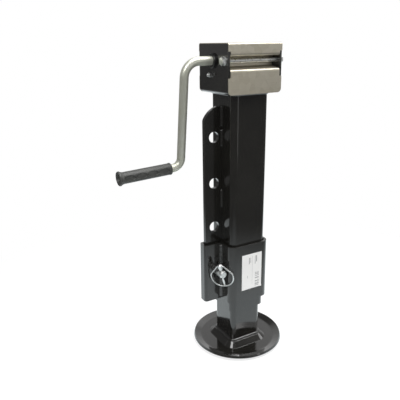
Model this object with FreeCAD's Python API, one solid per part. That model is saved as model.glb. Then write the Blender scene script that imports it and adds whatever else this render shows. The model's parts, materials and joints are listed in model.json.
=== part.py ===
# Trailer prop stand: a square telescopic leg with a bevel gear head, a side crank,
# a round foot, and a mounting sleeve that a cross pin locks to a perforated plate.
# Millimetres. +Z is up, the front is -Y, and the crank is on the -X side.
# The origin is the centre of the foot's sole.
import FreeCAD, Part
import math
import os

V = FreeCAD.Vector
os.makedirs("parts", exist_ok=True)

# Clearances, and how far a cutting tool reaches past what it cuts
fit_gap = 0.05
loose_gap = 0.3
cut_reach = 80.0
cut_over = 1.0

# Inner leg
inner_side = 70.0
inner_corner = 10.0
inner_wall = 4.0
wound_in_gap = 2.9

# Outer leg
slide_gap = 1.0
outer_wall = 4.0
outer_side = inner_side + 2 * (slide_gap + outer_wall)
outer_corner = 12.0
outer_bottom = 88.0
outer_length = 442.0

# Foot
foot_radius = 95.0
foot_flat_radius = 79.0
foot_rim_rise = 6.0
foot_thick = 5.0
foot_rim_bend = 20.0
boss_rise = 10.0
boss_margin = 5.0
boss_draft = 10.0
foot_weld_leg = 4.5
weld_edge = 0.01

# Gear housing: a bent U plate
housing_width = 115.0
housing_depth = 99.0
housing_height = 86.5
housing_plate = 4.0
housing_bend = 8.0
housing_corner = 6.0
housing_top_corner = 3.0
housing_weld_leg = 5.0
housing_screw_gap = 2.0
witness_hole_diameter = 3.0
witness_hole_forward = 9.6
witness_hole_drop = 23.2

# Cover: one folded sheet over the housing
cover_sheet = 1.5
cover_bend = 4.0
cover_lip = 14.5
cover_curl = 22.5
cover_curl_bend = 5.0
cover_channel_depth = 22.0
cover_channel_height = 18.3
cover_channel_bend = 3.0
cover_slope_drop = 4.0
cover_shelf_bend = 5.5
cover_panel_height = 29.3
cover_panel_corner = 7.5
cover_side_gap = 0.8

# Crank
shaft_rise = 58.0
rod_diameter = 16.0
crank_arm_reach = 114.6
crank_throw = 195.0
crank_lean = 8.0
crank_droop = 2.7
crank_upper_bend = 27.0
crank_lower_bend = 18.0
grip_start = 22.0
grip_length = 104.0
grip_diameter = 22.0
grip_flange_diameter = 27.0
grip_flange_length = 5.0
grip_flare_length = 4.0
grip_flange_round = 1.2
grip_lip = 3.0
grip_hollow = 4.0
grip_recess = 8.0
grip_ring_diameter = 23.6
grip_ring_length = 3.0
grip_ring_round = 0.7
shaft_overhang = 11.0
shaft_washer_diameter = 27.0
split_pin_gap = 2.0
split_pin_overhang = 4.0

# Crank bushes
bush_diameter = 22.0
bush_flange_diameter = 26.0
bush_flange = 4.5
bush_inner_length = 3.0
bush_chamfer = 1.0

# Bevel gears
gear_module = 2.5
pinion_teeth = 14
gear_teeth = 28
gear_face = 10.0
pressure_angle = 20.0
tooth_addendum = 2.0
tooth_dedendum = 2.6
tooth_backlash = 0.25
tooth_over = 0.6
flank_facets = 2
gear_rim = 5.0
gear_back_step = 2.0
gear_hub_diameter = 34.0
pinion_hub_diameter = 27.0
drive_pin_diameter = 5.0
gear_pin_rise = 8.0
pinion_pin_inset = 6.5
drive_pin_inset = 0.8

# Lead screw, its nut and its thrust bearing
screw_diameter = 22.0
screw_journal = 20.0
screw_top_drop = 14.0
screw_chamfer = 2.0
stop_washer_diameter = 30.0
stop_washer_thick = 6.0
stop_pin_length = 26.0
leg_stroke = 330.0
stroke_end_gap = 4.0
nut_diameter = 34.0
nut_length = 32.0
nut_plate_thick = 8.0
top_plate_thick = 8.0
collar_diameter = 36.0
collar_thick = 8.0
bearing_diameter = 42.0
race_thick = 2.5
race_gap = 0.5
roller_diameter = 6.0
roller_length = 6.5
roller_count = 10
roller_offset = 0.5
cage_thick = 3.0
cage_gap = 0.5
gear_washer_thick = 2.0
gear_washer_diameter = 40.0

# Perforated plate
plate_thick = 8.0
plate_offset = 3.5
plate_reach = 37.5
plate_top_drop = 22.0
plate_arch_rise = 26.0
plate_arc = 44.0
plate_tail = 49.5
plate_hole_diameter = 21.0
plate_hole_reach = 17.0
plate_hole_count = 4
plate_hole_pitch = 90.0
plate_hole_drop = 58.5
stitch_leg = 5.0
stitch_drops = ((38.0, 36.0), (76.0, 30.0), (198.0, 34.0))

# Mounting sleeve and its side channel
sleeve_gap = 1.0
sleeve_wall = 5.0
sleeve_corner = 15.0
sleeve_below_pin = 67.3
sleeve_height = 125.0
channel_gap = 2.5
channel_end_gap = 1.0
channel_bend = 6.0
channel_weld_leg = 4.0
channel_weld_ends = 5.0
channel_weld_break = 28.0

# Locking pin, linch pin and its ring
pin_diameter = 16.0
pin_hole_diameter = 17.0
pin_front_reach = 36.0
pin_chamfer = 2.0
pin_head_diameter = 20.0
pin_head_thick = 6.0
pin_head_chamfer = 1.5
pin_play = 0.3
linch_plane = 29.0
linch_tilt = 14.0
linch_above = 18.5
linch_length = 48.0
linch_diameter = 4.8
linch_hole_diameter = 5.2
linch_head_diameter = 9.5
linch_head_half = 5.0
linch_head_crown = 2.2
linch_head_edge = 0.9
linch_tip = 2.0
linch_tip_cut = 1.2
linch_collar_diameter = 7.6
linch_collar_length = 4.0
ring_wire = 2.6
ring_turn = 50.0
ring_half_width = 23.5
ring_shoulder = 18.3
ring_depth = 45.2
ring_neck = 5.8
ring_inset = 3.0
ring_neck_bend = 2.2
ring_shoulder_bend = 9.0
ring_bow = 21.5

# Fasteners
tie_bolt_diameter = 8.0
tie_bolt_flats = 13.0
tie_bolt_head = 5.3
tie_bolt_forward = 38.0
tie_bolt_stub = 9.5
tie_bolt_chamfer = 0.8
tie_nut_thick = 6.0
hexagon_cone = 0.6
hexagon_edge = 0.2
washer_thick = 1.6
washer_diameter = 16.0
small_bolt_diameter = 5.0
small_bolt_flats = 8.0
small_nut_thick = 4.0
small_bolt_stub = 3.5
small_bolt_head = 3.5
small_bolt_chamfer = 0.6
small_bolt_back = 9.0
small_bolt_drop = 25.0
split_pin_diameter = 3.0

# Places that follow from the sizes above
half_outer = outer_side / 2
half_inner = inner_side / 2
half_width = housing_width / 2
half_depth = housing_depth / 2
outer_top = outer_bottom + outer_length
housing_base = outer_top
shaft_height = housing_base + shaft_rise
housing_top = housing_base + housing_height
cover_top = housing_top + cover_sheet
boss_top = foot_thick + boss_rise
plate_edge = half_outer + plate_reach
plate_front = plate_offset - plate_thick / 2
plate_back = plate_offset + plate_thick / 2
plate_top = outer_top - plate_top_drop
plate_shoulder = plate_top - plate_arch_rise
plate_top_hole = plate_top - plate_hole_drop
locked_hole = plate_top_hole - (plate_hole_count - 1) * plate_hole_pitch
plate_bottom = locked_hole - plate_tail
pin_across = half_outer + plate_hole_reach
pin_height = locked_hole - (plate_hole_diameter - pin_diameter) / 2 + pin_play
sleeve_inner = half_outer + sleeve_gap
sleeve_outer = sleeve_inner + sleeve_wall
sleeve_bottom = pin_height - sleeve_below_pin
sleeve_top = sleeve_bottom + sleeve_height
channel_front = plate_front - channel_gap - sleeve_wall
channel_back = plate_back + channel_gap + sleeve_wall
channel_edge = plate_edge + channel_end_gap + sleeve_wall
rod_radius = rod_diameter / 2
top_plate_bottom = outer_top - top_plate_thick
upper_race_bottom = top_plate_bottom - race_thick
lower_race_top = upper_race_bottom - roller_diameter - 2 * fit_gap
lower_race_bottom = lower_race_top - race_thick
collar_bottom = lower_race_bottom - collar_thick
inner_top = collar_bottom - wound_in_gap
screw_bottom = inner_top - nut_length - leg_stroke - stroke_end_gap - stop_washer_thick
screw_top = shaft_height - screw_top_drop
roller_middle = upper_race_bottom - fit_gap - roller_diameter / 2
gear_seat = housing_base + housing_plate + gear_washer_thick


def box(x0, x1, y0, y1, z0, z1):
    return Part.makeBox(x1 - x0, y1 - y0, z1 - z0, V(x0, y0, z0))


def rod(diameter, start, end):
    """A plain round bar between two points."""
    along = end - start
    return Part.makeCylinder(diameter / 2, along.Length, start, along)


def chamfered_rod(diameter, start, end, start_chamfer, end_chamfer):
    """A round bar with a chamfer on each end."""
    along = (end - start).normalize()
    length = (end - start).Length
    r = diameter / 2
    profile = [(0, 0), (r - start_chamfer, 0), (r, start_chamfer), (r, length - end_chamfer),
               (r - end_chamfer, length), (0, length)]
    return place_on(turned(profile), start, along)


def turned(profile):
    """Revolve (radius, height) points about Z."""
    points = [V(r, 0, h) for r, h in profile]
    face = Part.Face(Part.makePolygon(points + points[:1]))
    return face.revolve(V(0, 0, 0), V(0, 0, 1), 360)


def place_on(shape, origin, axis):
    """Move a shape drawn along Z onto another axis."""
    moved = shape.copy()
    moved.Placement = FreeCAD.Placement(origin, FreeCAD.Rotation(V(0, 0, 1), axis))
    return moved


def rounded_square_wire(half_x, half_y, radius, z):
    """A rectangle with round corners, centred on the Z axis."""
    edges = []
    cx, cy = half_x - radius, half_y - radius
    quarter = math.pi / 2
    corners = ((cx, cy), (-cx, cy), (-cx, -cy), (cx, -cy))
    arcs = [Part.Arc(Part.Circle(V(x, y, z), V(0, 0, 1), radius), quarter * k, quarter * (k + 1))
            for k, (x, y) in enumerate(corners)]
    for k, arc in enumerate(arcs):
        edges.append(arc.toShape())
        edges.append(Part.LineSegment(arc.EndPoint, arcs[(k + 1) % 4].StartPoint).toShape())
    return Part.Wire(edges)


def square_bar(half, radius, z0, z1):
    face = Part.Face(rounded_square_wire(half, half, radius, z0))
    return face.extrude(V(0, 0, z1 - z0))


def square_tube(half, radius, wall, z0, z1):
    return square_bar(half, radius, z0, z1).cut(square_bar(half - wall, radius - wall, z0, z1))


def square_frustum(core, half0, z0, half1, z1):
    """A drafted square block, its round corners cones about four upright axes, core away from its middle."""
    blocks = [Part.makeCone(half0 - core, half1 - core, z1 - z0, V(x, y, z0))
              for x, y in ((core, core), (-core, core), (-core, -core), (core, -core))]
    section = ((-half0, z0), (half0, z0), (half1, z1), (-half1, z1), (-half0, z0))
    for turn in (0, 1):
        corners = [V(a, -core, z) if turn == 0 else V(-core, a, z) for a, z in section]
        run = V(0, 2 * core, 0) if turn == 0 else V(2 * core, 0, 0)
        blocks.append(Part.Face(Part.makePolygon(corners)).extrude(run))
    return blocks[0].multiFuse(blocks[1:]).removeSplitter()


def bent_path(points, radii):
    """A wire through the points, with a tangent arc of the given radius at each inner one."""
    edges = []
    at = points[0]
    for k in range(1, len(points) - 1):
        corner = points[k]
        back = (points[k - 1] - corner).normalize()
        ahead = (points[k + 1] - corner).normalize()
        half_angle = back.getAngle(ahead) / 2
        run = radii[k - 1] / math.tan(half_angle)
        start = corner + back * run
        end = corner + ahead * run
        bisector = (back + ahead).normalize()
        middle = corner + bisector * (radii[k - 1] / math.sin(half_angle) - radii[k - 1])
        edges.append(Part.LineSegment(at, start).toShape())
        edges.append(Part.Arc(start, middle, end).toShape())
        at = end
    edges.append(Part.LineSegment(at, points[-1]).toShape())
    return Part.Wire(edges)


def bent_rod(points, radii, diameter):
    """A round bar bent along the points: straight lengths joined by parts of a ring."""
    lengths = []
    at = points[0]
    for k, radius in enumerate(radii):
        corner = points[k + 1]
        back = (points[k] - corner).normalize()
        ahead = (points[k + 2] - corner).normalize()
        half_angle = back.getAngle(ahead) / 2
        run = radius / math.tan(half_angle)
        start = corner + back * run
        centre = corner + (back + ahead).normalize() * (radius / math.sin(half_angle))
        lengths.append(rod(diameter, at, start))
        disc = Part.Face(Part.Wire(Part.makeCircle(diameter / 2, start, back)))
        lengths.append(disc.revolve(centre, ahead.cross(back), 180 - math.degrees(2 * half_angle)))
        at = corner + ahead * run
    lengths.append(rod(diameter, at, points[-1]))
    return lengths[0].multiFuse(lengths[1:]).removeSplitter()


def hexagon(across_flats, thick, centre, axis):
    radius = across_flats / math.sqrt(3)
    corners = [V(radius * math.cos(math.radians(60 * k)), radius * math.sin(math.radians(60 * k)), 0)
               for k in range(6)]
    prism = Part.Face(Part.makePolygon(corners + corners[:1])).extrude(V(0, 0, thick))
    return place_on(prism, centre, axis)


def chamfered_hexagon(across_flats, thick, centre, axis):
    """A hexagon whose outer corners are turned to a shallow cone."""
    radius = across_flats / math.sqrt(3)
    flat = across_flats / 2
    rim = radius + cut_over
    shoulder = thick - (radius - flat) * hexagon_cone - hexagon_cone
    blank = turned([(0, 0), (rim, 0), (rim, shoulder), (flat - hexagon_edge, thick), (0, thick)])
    return hexagon(across_flats, thick, centre, axis).common(place_on(blank, centre, axis))


def washer(outer, inner, thick, centre, axis):
    ring = Part.makeCylinder(outer / 2, thick).cut(Part.makeCylinder(inner / 2, thick))
    return place_on(ring, centre, axis)


def fillet_bead(corner, leg, run, side_a, side_b):
    """A straight weld bead: a triangle in the corner of two faces, drawn along run."""
    triangle = Part.makePolygon([corner, corner + side_a * leg, corner + side_b * leg, corner])
    return Part.Face(triangle).extrude(run)


def square_weld(half, radius, leg, z_face, upward):
    """A weld bead all round a square tube that meets a flat face."""
    z_end = z_face + leg if upward else z_face - leg
    low, high = min(z_face, z_end), max(z_face, z_end)
    half_low, half_high = (half + leg, half + weld_edge) if upward else (half + weld_edge, half + leg)
    bead = square_frustum(half - radius, half_low, low, half_high, high)
    return bead.cut(square_bar(half, radius, low, high))


def involute(angle):
    return math.tan(angle) - angle


def bevel_gear(teeth, mate_teeth, hub_radius, bore_radius, hub_length, phase):
    """A straight bevel gear about Z, its cone apex at the origin and its body above it.

    The tooth flanks are involutes on the developed back cone, drawn to the apex.
    """
    cone = math.atan2(teeth, mate_teeth)
    sin_c, cos_c = math.sin(cone), math.cos(cone)
    pitch_radius = gear_module * teeth / 2
    distance = pitch_radius / sin_c
    inner = (distance - gear_face) / distance
    pitch_height = distance * cos_c

    def on_back_cone(scale, out):
        return (scale * (pitch_radius + out * cos_c), scale * (pitch_height - out * sin_c))

    back_drop = tooth_dedendum + gear_rim
    if teeth > mate_teeth:
        back = [on_back_cone(1, -back_drop), (hub_radius, on_back_cone(1, -back_drop)[1] + gear_back_step)]
        front = [on_back_cone(inner, -back_drop / 2), (bore_radius, on_back_cone(inner, -back_drop / 2)[1])]
    else:
        hub_drop = (pitch_radius - hub_radius) / cos_c
        bore_drop = (inner * pitch_radius - bore_radius) / (inner * cos_c)
        back = [on_back_cone(1, -hub_drop)]
        front = [on_back_cone(inner, -bore_drop)]
    profile = [(bore_radius, hub_length), (hub_radius, hub_length)] + back[::-1]
    profile += [on_back_cone(1, tooth_addendum), on_back_cone(inner, tooth_addendum)] + front
    blank = turned(profile)

    virtual_radius = pitch_radius / cos_c
    base_radius = virtual_radius * math.cos(math.radians(pressure_angle))
    half_tooth = (math.pi * gear_module / 2 - tooth_backlash) / (2 * virtual_radius)
    root = virtual_radius - tooth_dedendum
    tip = virtual_radius + tooth_addendum + tooth_over
    flank_start = max(base_radius, root)
    steps = [root] if root < base_radius else []
    steps += [flank_start + (tip - flank_start) * k / flank_facets for k in range(flank_facets + 1)]
    flank = []
    for rho in steps:
        roll = math.acos(min(1.0, base_radius / rho))
        turn = half_tooth + involute(math.radians(pressure_angle)) - involute(roll)
        slope = rho * cos_c / (distance / cos_c - rho * sin_c)
        flank.append((slope, turn / cos_c))

    def outline(height):
        points = []
        for tooth in range(teeth):
            middle = 2 * math.pi * tooth / teeth + phase
            sides = [(s, middle - a) for s, a in flank] + [(s, middle + a) for s, a in reversed(flank)]
            points += [V(s * height * math.cos(a), s * height * math.sin(a), height) for s, a in sides]
        return points

    low = outline(min(height for radius, height in profile) - cut_over)
    high = outline(hub_length + cut_over)
    count = len(low)
    faces = [Part.Face(Part.makePolygon(ring + ring[:1])) for ring in (low, high)]
    for k in range(count):
        after = (k + 1) % count
        faces.append(Part.Face(Part.makePolygon([low[k], low[after], high[after], high[k], low[k]])))
    toothed = Part.Solid(Part.Shell(faces))
    if toothed.Volume < 0:
        toothed.reverse()
    return blank.common(toothed)


def save(name, shape):
    if not shape.isValid():
        raise ValueError(name + " is not a valid solid")
    shape.exportStep("parts/" + name + ".step")
    print(name, len(shape.Solids), "solid(s)", round(shape.Volume), "mm3")


# The foot and the inner leg

def foot():
    """A pressed dish with an upturned rim and a drafted square boss under the leg."""
    rim = V(foot_radius, 0, foot_rim_rise)
    path = bent_path([V(0, 0, 0), V(foot_flat_radius, 0, 0), rim], [foot_rim_bend])
    sheet = path.makeOffset2D(foot_thick, 0, True, True)
    if sheet.BoundBox.ZMin < -fit_gap:
        sheet = path.makeOffset2D(-foot_thick, 0, True, True)
    dish = sheet.revolve(V(0, 0, 0), V(0, 0, 1), 360)
    top_half = half_inner + boss_margin
    base_half = top_half + boss_draft
    core = half_inner - inner_corner
    boss = square_frustum(core, base_half, foot_thick, top_half, boss_top)
    slope = boss_draft / boss_rise
    hollow = square_frustum(core, base_half - foot_thick + slope * foot_thick, 0,
                            top_half - foot_thick, boss_top - foot_thick)
    return dish.fuse(boss).cut(hollow).removeSplitter()


def inner_leg():
    save("foot_plate", foot())
    save("inner_tube", square_tube(half_inner, inner_corner, inner_wall, boss_top, inner_top))
    save("foot_weld", square_weld(half_inner, inner_corner, foot_weld_leg, boss_top, True))
    plate_half = half_inner - inner_wall - fit_gap
    plate = square_bar(plate_half, inner_corner - inner_wall, inner_top - nut_plate_thick, inner_top)
    seat = rod(nut_diameter + 2 * fit_gap, V(0, 0, 0), V(0, 0, inner_top))
    save("nut_plate", plate.cut(seat))
    nut = rod(nut_diameter, V(0, 0, inner_top - nut_length), V(0, 0, inner_top))
    bore = rod(screw_diameter + 2 * fit_gap, V(0, 0, 0), V(0, 0, inner_top))
    save("lead_nut", nut.cut(bore))


# The lead screw and its thrust bearing

def lead_screw():
    r_thread, r_journal, r_collar = screw_diameter / 2, screw_journal / 2, collar_diameter / 2
    chamfer = screw_chamfer
    return turned([(0, screw_bottom), (r_thread - chamfer, screw_bottom), (r_thread, screw_bottom + chamfer),
                   (r_thread, collar_bottom), (r_collar, collar_bottom), (r_collar, lower_race_bottom),
                   (r_journal, lower_race_bottom), (r_journal, screw_top - chamfer),
                   (r_journal - chamfer, screw_top), (0, screw_top)])


def roller_ring():
    """Short rollers set round the screw, each on a radial axis."""
    middle_radius = (bearing_diameter + screw_journal) / 4 + roller_offset
    rollers = []
    for k in range(roller_count):
        angle = 2 * math.pi * k / roller_count
        out = V(math.cos(angle), math.sin(angle), 0)
        centre = out * middle_radius + V(0, 0, roller_middle)
        reach = out * (roller_length / 2)
        rollers.append(rod(roller_diameter, centre - reach, centre + reach))
    return rollers


def roller_cage(rollers):
    ring = washer(bearing_diameter - 2 * cage_gap, screw_journal + 2 * cage_gap, cage_thick,
                  V(0, 0, roller_middle - cage_thick / 2), V(0, 0, 1))
    for k, roller in enumerate(rollers):
        axis = V(math.cos(2 * math.pi * k / roller_count), math.sin(2 * math.pi * k / roller_count), 0)
        middle = roller.CenterOfMass
        grow = fit_gap * 2
        ring = ring.cut(rod(roller_diameter + 2 * grow, middle - axis * (roller_length / 2 + grow),
                            middle + axis * (roller_length / 2 + grow)))
    return ring


def screw_group():
    pin_z = gear_seat + gear_pin_rise
    pin_reach = gear_hub_diameter / 2 - drive_pin_inset
    drive_pin = rod(drive_pin_diameter, V(-pin_reach, 0, pin_z), V(pin_reach, 0, pin_z))
    pin_hole = rod(drive_pin_diameter + 2 * fit_gap, V(-cut_reach, 0, pin_z), V(cut_reach, 0, pin_z))
    stop_pin_z = screw_bottom + stop_washer_thick / 2
    stop_reach = stop_pin_length / 2
    stop_pin = rod(split_pin_diameter, V(-stop_reach, 0, stop_pin_z), V(stop_reach, 0, stop_pin_z))
    stop_hole = rod(split_pin_diameter + 2 * fit_gap, V(-cut_reach, 0, stop_pin_z),
                    V(cut_reach, 0, stop_pin_z))
    save("lead_screw", lead_screw().cut(pin_hole).cut(stop_hole))
    collar = washer(stop_washer_diameter, screw_diameter + 2 * fit_gap, stop_washer_thick,
                    V(0, 0, screw_bottom), V(0, 0, 1))
    save("screw_stop_collar", collar.cut(stop_hole))
    save("screw_stop_pin", stop_pin)
    gear = bevel_gear(gear_teeth, pinion_teeth, gear_hub_diameter / 2, screw_journal / 2 + fit_gap,
                      shaft_height - gear_seat - fit_gap, math.pi / gear_teeth)
    gear = place_on(gear, V(0, 0, shaft_height), V(0, 0, -1))
    save("bevel_gear", gear.cut(pin_hole))
    save("gear_pin", drive_pin)
    save("bearing_lower_race", washer(bearing_diameter, screw_journal + 2 * fit_gap, race_thick,
                                      V(0, 0, lower_race_bottom), V(0, 0, 1)))
    rollers = roller_ring()
    save("bearing_rollers", Part.makeCompound(rollers))
    save("bearing_cage", roller_cage(rollers))


# The crank

def crank_path():
    lean = math.radians(crank_lean)
    droop = math.radians(crank_droop)
    down = V(0, math.sin(lean), -math.cos(lean))
    outward = V(-1, 0, 0)
    shaft_end = V(half_width + shaft_overhang, 0, shaft_height)
    upper = V(-crank_arm_reach, 0, shaft_height)
    lower = upper + down * crank_throw
    along = (outward * math.cos(droop) + down * math.sin(droop)).normalize()
    return shaft_end, upper, lower, along


def crank_rod(pinion_pin_hole, split_hole):
    shaft_end, upper, lower, along = crank_path()
    end = lower + along * (grip_start + grip_length - grip_recess)
    bar = bent_rod([shaft_end, upper, lower, end], [crank_upper_bend, crank_lower_bend], rod_diameter)
    return bar.cut(pinion_pin_hole).cut(split_hole)


def crank_grip():
    """A push-on plastic sleeve with a flared, hollow outer end and a ring at its inner end."""
    r_bore = rod_radius + fit_gap
    r = grip_diameter / 2
    r_ring = grip_ring_diameter / 2
    r_flange = grip_flange_diameter / 2
    flare = grip_length - grip_flange_length
    small, wide = grip_ring_round, grip_flange_round
    profile = [(r_bore, 0), (r_ring - small, 0), (r_ring, small), (r_ring, grip_ring_length),
               (r, grip_ring_length + small), (r, flare - grip_flare_length), (r_flange - wide, flare),
               (r_flange, flare + wide), (r_flange, grip_length - wide), (r_flange - wide, grip_length),
               (r_flange - grip_lip, grip_length), (r_bore, grip_length - grip_hollow)]
    shaft_end, upper, lower, along = crank_path()
    return place_on(turned(profile), lower + along * grip_start, along)


def crank_group():
    pinion_end = half_width - housing_plate - bush_inner_length - loose_gap
    pin_x = pinion_end - pinion_pin_inset
    pin_reach = pinion_hub_diameter / 2 - drive_pin_inset
    pin = rod(drive_pin_diameter, V(pin_x, 0, shaft_height - pin_reach),
              V(pin_x, 0, shaft_height + pin_reach))
    pin_hole = rod(drive_pin_diameter + 2 * fit_gap, V(pin_x, 0, shaft_height - cut_reach),
                   V(pin_x, 0, shaft_height + cut_reach))
    washer_x = half_width + bush_flange + loose_gap
    split_x = washer_x + washer_thick + split_pin_gap
    split_reach = rod_radius + split_pin_overhang
    split_start, split_end = V(split_x, -split_reach, shaft_height), V(split_x, split_reach, shaft_height)
    split_hole = rod(split_pin_diameter + 2 * fit_gap, split_start, split_end)
    split = rod(split_pin_diameter, split_start, split_end)
    save("crank_rod", crank_rod(pin_hole, split_hole))
    save("crank_grip", crank_grip())
    pinion = bevel_gear(pinion_teeth, gear_teeth, pinion_hub_diameter / 2, rod_radius + fit_gap,
                        pinion_end, 0)
    turn = FreeCAD.Rotation(V(0, 0, 1), V(1, 0, 0))
    pinion.Placement = FreeCAD.Placement(V(0, 0, shaft_height), turn)
    save("bevel_pinion", pinion.cut(pin_hole))
    save("pinion_pin", pin)
    save("shaft_washer", washer(shaft_washer_diameter, rod_diameter + 2 * fit_gap, washer_thick,
                                V(washer_x, 0, shaft_height), V(1, 0, 0)))
    save("shaft_split_pin", split)


# The gear housing and its cover

def housing_plate_shape():
    """A plate bent to a U: two sides and a bottom, open to the front, the back and the top."""
    outer = [V(-half_width, -half_depth, housing_top), V(-half_width, -half_depth, housing_base),
             V(half_width, -half_depth, housing_base), V(half_width, -half_depth, housing_top)]
    path = bent_path(outer, [housing_bend, housing_bend])
    sheet = path.makeOffset2D(housing_plate, 0, True, True)
    if sheet.BoundBox.ZMin < housing_base - fit_gap:
        sheet = path.makeOffset2D(-housing_plate, 0, True, True)
    plate = sheet.extrude(V(0, housing_depth, 0)).common(housing_side_outline())
    across = V(cut_reach, 0, 0)
    on_shaft = V(0, 0, shaft_height)
    on_bolt = V(0, -tie_bolt_forward, shaft_height)
    small = V(0, small_bolt_back, shaft_height - small_bolt_drop)
    witness = V(0, -witness_hole_forward, shaft_height - witness_hole_drop)
    plate_low = V(0, 0, housing_base - cut_over)
    plate_high = V(0, 0, housing_base + housing_plate + cut_over)
    holes = [rod(bush_diameter + 2 * fit_gap, on_shaft - across, on_shaft + across),
             rod(tie_bolt_diameter + 2 * loose_gap, on_bolt - across, on_bolt + across),
             rod(small_bolt_diameter + 2 * fit_gap, small - across, small),
             rod(witness_hole_diameter, witness - across, witness),
             rod(screw_journal + 2 * housing_screw_gap, plate_low, plate_high)]
    return plate.cut(Part.makeCompound(holes))


def housing_side_outline():
    """The side plates' outline with round corners, as wide as the housing."""
    low, high, depth = housing_base, housing_top, half_depth
    corners = [V(-half_width, 0, low), V(-half_width, -depth, low), V(-half_width, -depth, high),
               V(-half_width, depth, high), V(-half_width, depth, low), V(-half_width, 0, low)]
    radii = [housing_corner, housing_top_corner, housing_top_corner, housing_corner]
    return Part.Face(bent_path(corners, radii)).extrude(V(housing_width, 0, 0))


def cover():
    """One sheet folded over the housing, with a lip, a channel and a panel on the front and the back."""
    front = -half_depth - cover_sheet
    lip_end = cover_top - cover_curl
    back = front + cover_channel_depth
    channel_low = lip_end - cover_channel_height
    slope_end = channel_low - cover_slope_drop
    points = [V(0, 0, cover_top), V(0, front, cover_top), V(0, front, lip_end), V(0, back, lip_end),
              V(0, back, channel_low), V(0, front, slope_end), V(0, front, housing_base)]
    bends = [cover_bend, cover_curl_bend, cover_channel_bend, cover_channel_bend, cover_shelf_bend]
    path = bent_path(points, bends)
    half = path.makeOffset2D(cover_sheet, 0, True, True)
    if half.BoundBox.YMin < front - fit_gap:
        half = path.makeOffset2D(-cover_sheet, 0, True, True)
    half.translate(V(-half_width, 0, 0))
    sheet = half.extrude(V(housing_width, 0, 0))
    mirrored = sheet.mirror(V(0, 0, 0), V(0, 1, 0))
    sheet = sheet.fuse(mirrored).removeSplitter()
    notch_low = housing_base + cover_panel_height
    notch_high = cover_top - cover_lip
    side = half_width - housing_plate - cover_side_gap
    corner = cover_panel_corner
    for sign in (-1, 1):
        x0, x1 = sorted((sign * side, sign * (half_width + cut_over)))
        sheet = sheet.cut(box(x0, x1, -cut_reach, cut_reach, notch_low, notch_high))
        inner_x = sign * (half_width - corner)
        x0, x1 = sorted((inner_x, sign * half_width))
        square = box(x0, x1, -cut_reach, cut_reach, housing_base, housing_base + corner)
        round_start = V(inner_x, -cut_reach, housing_base + corner)
        round_end = V(inner_x, cut_reach, housing_base + corner)
        sheet = sheet.cut(square.cut(rod(2 * corner, round_start, round_end)))
    return sheet


def crank_bush(sign):
    r_bore, r_hole, r_flange = rod_radius + fit_gap, bush_diameter / 2, bush_flange_diameter / 2
    inner = half_width - housing_plate - bush_inner_length
    length = half_width - inner
    end = length + bush_flange
    body = turned([(r_bore, 0), (r_hole, 0), (r_hole, length), (r_flange, length),
                   (r_flange, end - bush_chamfer), (r_flange - bush_chamfer, end), (r_bore, end)])
    return place_on(body, V(sign * inner, 0, shaft_height), V(sign, 0, 0))


def tie_bolt():
    y = -tie_bolt_forward
    head_x = -half_width - washer_thick
    start, end = V(head_x, y, shaft_height), V(half_width + tie_bolt_stub, y, shaft_height)
    shank = chamfered_rod(tie_bolt_diameter, start, end, 0, tie_bolt_chamfer)
    head = chamfered_hexagon(tie_bolt_flats, tie_bolt_head, start, V(-1, 0, 0))
    return shank.fuse(head)


def locating_bolt():
    """The small bolt through the left plate, its head inside, and the nut on it."""
    inside = V(-half_width + housing_plate, small_bolt_back, shaft_height - small_bolt_drop)
    seat = V(-half_width, small_bolt_back, shaft_height - small_bolt_drop)
    tip = seat - V(small_nut_thick + small_bolt_stub, 0, 0)
    shank = chamfered_rod(small_bolt_diameter, inside, tip, 0, small_bolt_chamfer)
    head = chamfered_hexagon(small_bolt_flats, small_bolt_head, inside, V(1, 0, 0))
    nut = chamfered_hexagon(small_bolt_flats, small_nut_thick, seat, V(-1, 0, 0))
    return shank.fuse(head), nut.cut(rod(small_bolt_diameter + 2 * fit_gap, inside, tip))


def gear_head():
    save("gear_housing", housing_plate_shape())
    save("gear_cover", cover())
    save("crank_bush_left", crank_bush(-1))
    save("crank_bush_right", crank_bush(1))
    y = -tie_bolt_forward
    save("tie_bolt", tie_bolt())
    bore = tie_bolt_diameter + 2 * fit_gap
    washers = []
    for side in (-1, 1):
        seat = V(side * half_width, y, shaft_height)
        washers.append(washer(washer_diameter, bore, washer_thick, seat, V(side, 0, 0)))
    save("tie_bolt_washers", Part.makeCompound(washers))
    nut_seat = V(half_width + washer_thick, y, shaft_height)
    nut = chamfered_hexagon(tie_bolt_flats, tie_nut_thick, nut_seat, V(1, 0, 0))
    save("tie_bolt_nut", nut.cut(rod(bore, nut_seat, nut_seat + V(tie_nut_thick, 0, 0))))
    small_bolt, small_nut = locating_bolt()
    save("locating_bolt", small_bolt)
    save("locating_nut", small_nut)


# The outer leg

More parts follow.
